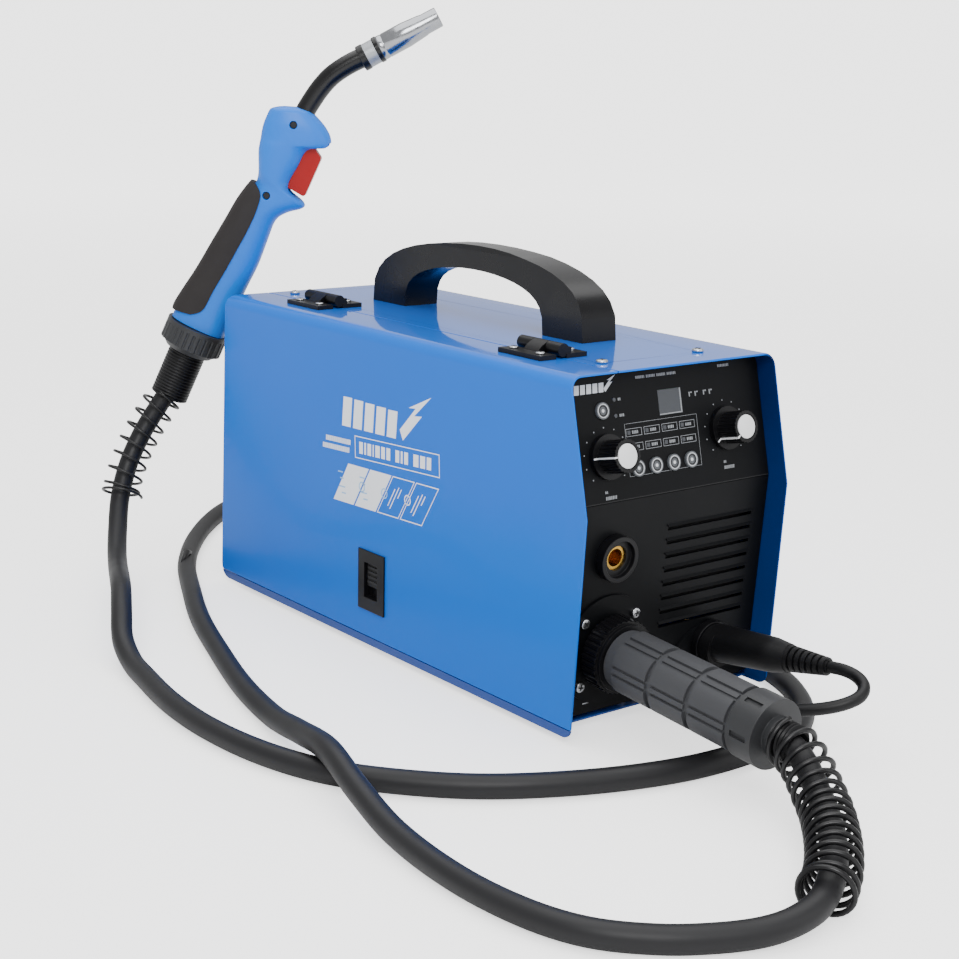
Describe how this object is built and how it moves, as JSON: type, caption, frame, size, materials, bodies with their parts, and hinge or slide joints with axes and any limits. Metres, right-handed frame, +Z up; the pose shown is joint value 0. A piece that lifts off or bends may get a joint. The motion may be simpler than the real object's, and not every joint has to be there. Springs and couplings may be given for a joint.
{
  "type": "MIG welding machine",
  "caption": "Compact portable wire welding machine with a folded steel case, hinged side door, front controls, carrying handle and a connected torch on its cable.",
  "frame": {"origin": "centre of the footprint on the floor, level with the underside of the rubber feet", "axes": "+X to the right side seen from the front, -Y towards the front panels, +Z up; the door is on the -X side"},
  "size_m": [0.4847, 1.0029, 0.5104],
  "materials": {
    "cover_paint": "gloss",
    "tray_paint": "satin",
    "panel_paint": "satin",
    "inner_steel": "satin",
    "foot_rubber": "matte",
    "handle_plastic": "satin",
    "hinge_plastic": "satin",
    "latch_plastic": "satin",
    "dial_plastic": "satin",
    "button_plastic": "satin",
    "display_plastic": "gloss",
    "circuit_board": "satin",
    "collar_plastic": "satin",
    "brass": "polished",
    "screw_steel": "polished",
    "nut_plastic": "satin",
    "grip_plastic": "satin",
    "spring_steel": "satin",
    "cable_rubber": "matte",
    "torch_blue": "satin",
    "pad_rubber": "matte",
    "trigger_red": "gloss",
    "neck_black": "satin",
    "insulator_plastic": "satin",
    "nozzle_metal": "polished",
    "copper": "satin",
    "plug_rubber": "satin",
    "lead_rubber": "satin",
    "fan_plastic": "satin",
    "switch_plastic": "satin",
    "switch_red": "gloss",
    "gland_plastic": "satin",
    "feeder_metal": "cast",
    "motor_steel": "satin",
    "roll_steel": "polished",
    "arm_plastic": "satin",
    "knob_red": "satin",
    "spool_plastic": "satin",
    "inverter_parts": "satin"
  },
  "bodies": {
    "machine": {"base_tray": "tray_paint", "rubber_feet": "foot_rubber", "outer_cover": "cover_paint", "centre_divider": "inner_steel", "rear_panel": "panel_paint", "control_fascia": "panel_paint", "connector_panel": "panel_paint", "display_windows": "display_plastic", "control_board": "circuit_board", "socket_collars": "collar_plastic", "brass_sockets": "brass", "carry_handle": "handle_plastic", "fixing_screws": "screw_steel", "hinge_leaves_fixed": "hinge_plastic", "connector_grip": "grip_plastic", "connector_ring": "grip_plastic", "connector_spring": "spring_steel", "torch_cable": "cable_rubber", "torch_strain_relief": "spring_steel", "torch_nut": "nut_plastic", "torch_handle_left": "torch_blue", "torch_handle_right": "torch_blue", "torch_grip_pad": "pad_rubber", "torch_neck": "neck_black", "torch_insulator": "insulator_plastic", "gas_nozzle": "nozzle_metal", "contact_tip": "copper", "polarity_plug": "plug_rubber", "polarity_lead": "lead_rubber", "polarity_gland": "gland_plastic", "fan_frame": "fan_plastic", "switch_housing": "switch_plastic", "mains_gland": "gland_plastic", "gas_inlet": "brass", "feeder_base": "feeder_metal", "feed_motor": "motor_steel", "spool_hub": "arm_plastic", "inverter_module": "inverter_parts"},
    "door": {"door_panel": "cover_paint", "hinge_leaves_door": "hinge_plastic", "latch_frame": "latch_plastic"},
    "latch": {"latch_slider": "latch_plastic"},
    "voltage_dial_body": {"voltage_dial": "dial_plastic"},
    "current_dial_body": {"current_dial": "dial_plastic"},
    "mode_button_body": {"mode_button": "button_plastic"},
    "menu_button_1_body": {"menu_button_1": "button_plastic"},
    "menu_button_2_body": {"menu_button_2": "button_plastic"},
    "menu_button_3_body": {"menu_button_3": "button_plastic"},
    "menu_button_4_body": {"menu_button_4": "button_plastic"},
    "union_nut_body": {"union_nut": "nut_plastic"},
    "trigger": {"torch_trigger": "trigger_red"},
    "fan": {"fan_rotor": "fan_plastic"},
    "switch": {"switch_rocker": "switch_red"},
    "roll": {"drive_roll": "roll_steel"},
    "arm": {"pressure_arm": "arm_plastic"},
    "idler": {"idler_roll": "roll_steel"},
    "knob": {"tension_knob": "knob_red"},
    "spool": {"wire_spool": "spool_plastic", "wound_wire": "copper"},
    "spool_nut_body": {"spool_nut": "spool_plastic"}
  },
  "joints": [
    {"name": "door_hinge", "type": "hinge", "parent": "machine", "child": "door", "pos_m": [-0.056, 0, 0.268], "axis": [0, 1, 0], "range_deg": [0, 90]},
    {"name": "latch_slide", "type": "slide", "parent": "door", "child": "latch", "axis": [0, 0, -1], "range_m": [0, 0.008]},
    {"name": "voltage_turn", "type": "hinge", "parent": "machine", "child": "voltage_dial_body", "pos_m": [-0.061, -0.2268, 0.20118], "axis": [0, 0.9744, -0.225], "range_deg": [-60, 210]},
    {"name": "current_turn", "type": "hinge", "parent": "machine", "child": "current_dial_body", "pos_m": [0.057, -0.22511, 0.20849], "axis": [0, 0.9744, -0.225], "range_deg": [-20, 250]},
    {"name": "mode_press", "type": "slide", "parent": "machine", "child": "mode_button_body", "axis": [0, 0.9744, -0.225], "range_m": [0, 0.0008], "stiffness_N_per_m": 800, "springref_m": -0.0005},
    {"name": "menu_1_press", "type": "slide", "parent": "machine", "child": "menu_button_1_body", "axis": [0, 0.9744, -0.225], "range_m": [0, 0.0008], "stiffness_N_per_m": 800, "springref_m": -0.0005},
    {"name": "menu_2_press", "type": "slide", "parent": "machine", "child": "menu_button_2_body", "axis": [0, 0.9744, -0.225], "range_m": [0, 0.0008], "stiffness_N_per_m": 800, "springref_m": -0.0005},
    {"name": "menu_3_press", "type": "slide", "parent": "machine", "child": "menu_button_3_body", "axis": [0, 0.9744, -0.225], "range_m": [0, 0.0008], "stiffness_N_per_m": 800, "springref_m": -0.0005},
    {"name": "menu_4_press", "type": "slide", "parent": "machine", "child": "menu_button_4_body", "axis": [0, 0.9744, -0.225], "range_m": [0, 0.0008], "stiffness_N_per_m": 800, "springref_m": -0.0005},
    {"name": "union_nut_turn", "type": "hinge", "parent": "machine", "child": "union_nut_body", "pos_m": [-0.055, -0.22629, 0.05977], "axis": [0, -0.9976, -0.0698], "range_deg": [0, 360]},
    {"name": "trigger_press", "type": "hinge", "parent": "machine", "child": "trigger", "pos_m": [-0.02618, 0.2252, 0.3867], "axis": [0.6194, 0.7851, 0], "range_deg": [0, 6], "stiffness_Nm_per_rad": 0.5, "springref_deg": -2.86},
    {"name": "fan_spin", "type": "hinge", "parent": "machine", "child": "fan", "pos_m": [0.048, 0.206, 0.155], "axis": [0, 1, 0], "continuous": true},
    {"name": "switch_rock", "type": "hinge", "parent": "machine", "child": "switch", "pos_m": [-0.056, 0.2195, 0.195], "axis": [0, 0, -1], "range_deg": [0, 20]},
    {"name": "drive_roll_spin", "type": "hinge", "parent": "machine", "child": "roll", "pos_m": [-0.056, -0.118, 0.0434], "axis": [1, 0, 0], "continuous": true},
    {"name": "pressure_arm_lift", "type": "hinge", "parent": "machine", "child": "arm", "pos_m": [-0.062, -0.085, 0.081], "axis": [-1, 0, 0], "range_deg": [0, 45]},
    {"name": "idler_spin", "type": "hinge", "parent": "arm", "child": "idler", "pos_m": [-0.056, -0.118, 0.0716], "axis": [1, 0, 0], "continuous": true},
    {"name": "tension_turn", "type": "hinge", "parent": "arm", "child": "knob", "pos_m": [-0.055, -0.151, 0.095], "axis": [0, 0, -1], "range_deg": [0, 360]},
    {"name": "spool_spin", "type": "hinge", "parent": "machine", "child": "spool", "pos_m": [-0.04, 0.112, 0.127], "axis": [1, 0, 0], "continuous": true},
    {"name": "spool_nut_turn", "type": "hinge", "parent": "machine", "child": "spool_nut_body", "pos_m": [-0.08, 0.112, 0.127], "axis": [-1, 0, 0], "range_deg": [0, 360]}
  ],
  "couplings": [
    {"joint": "idler_spin", "follows": "drive_roll_spin", "ratio": -1.25}
  ]
}
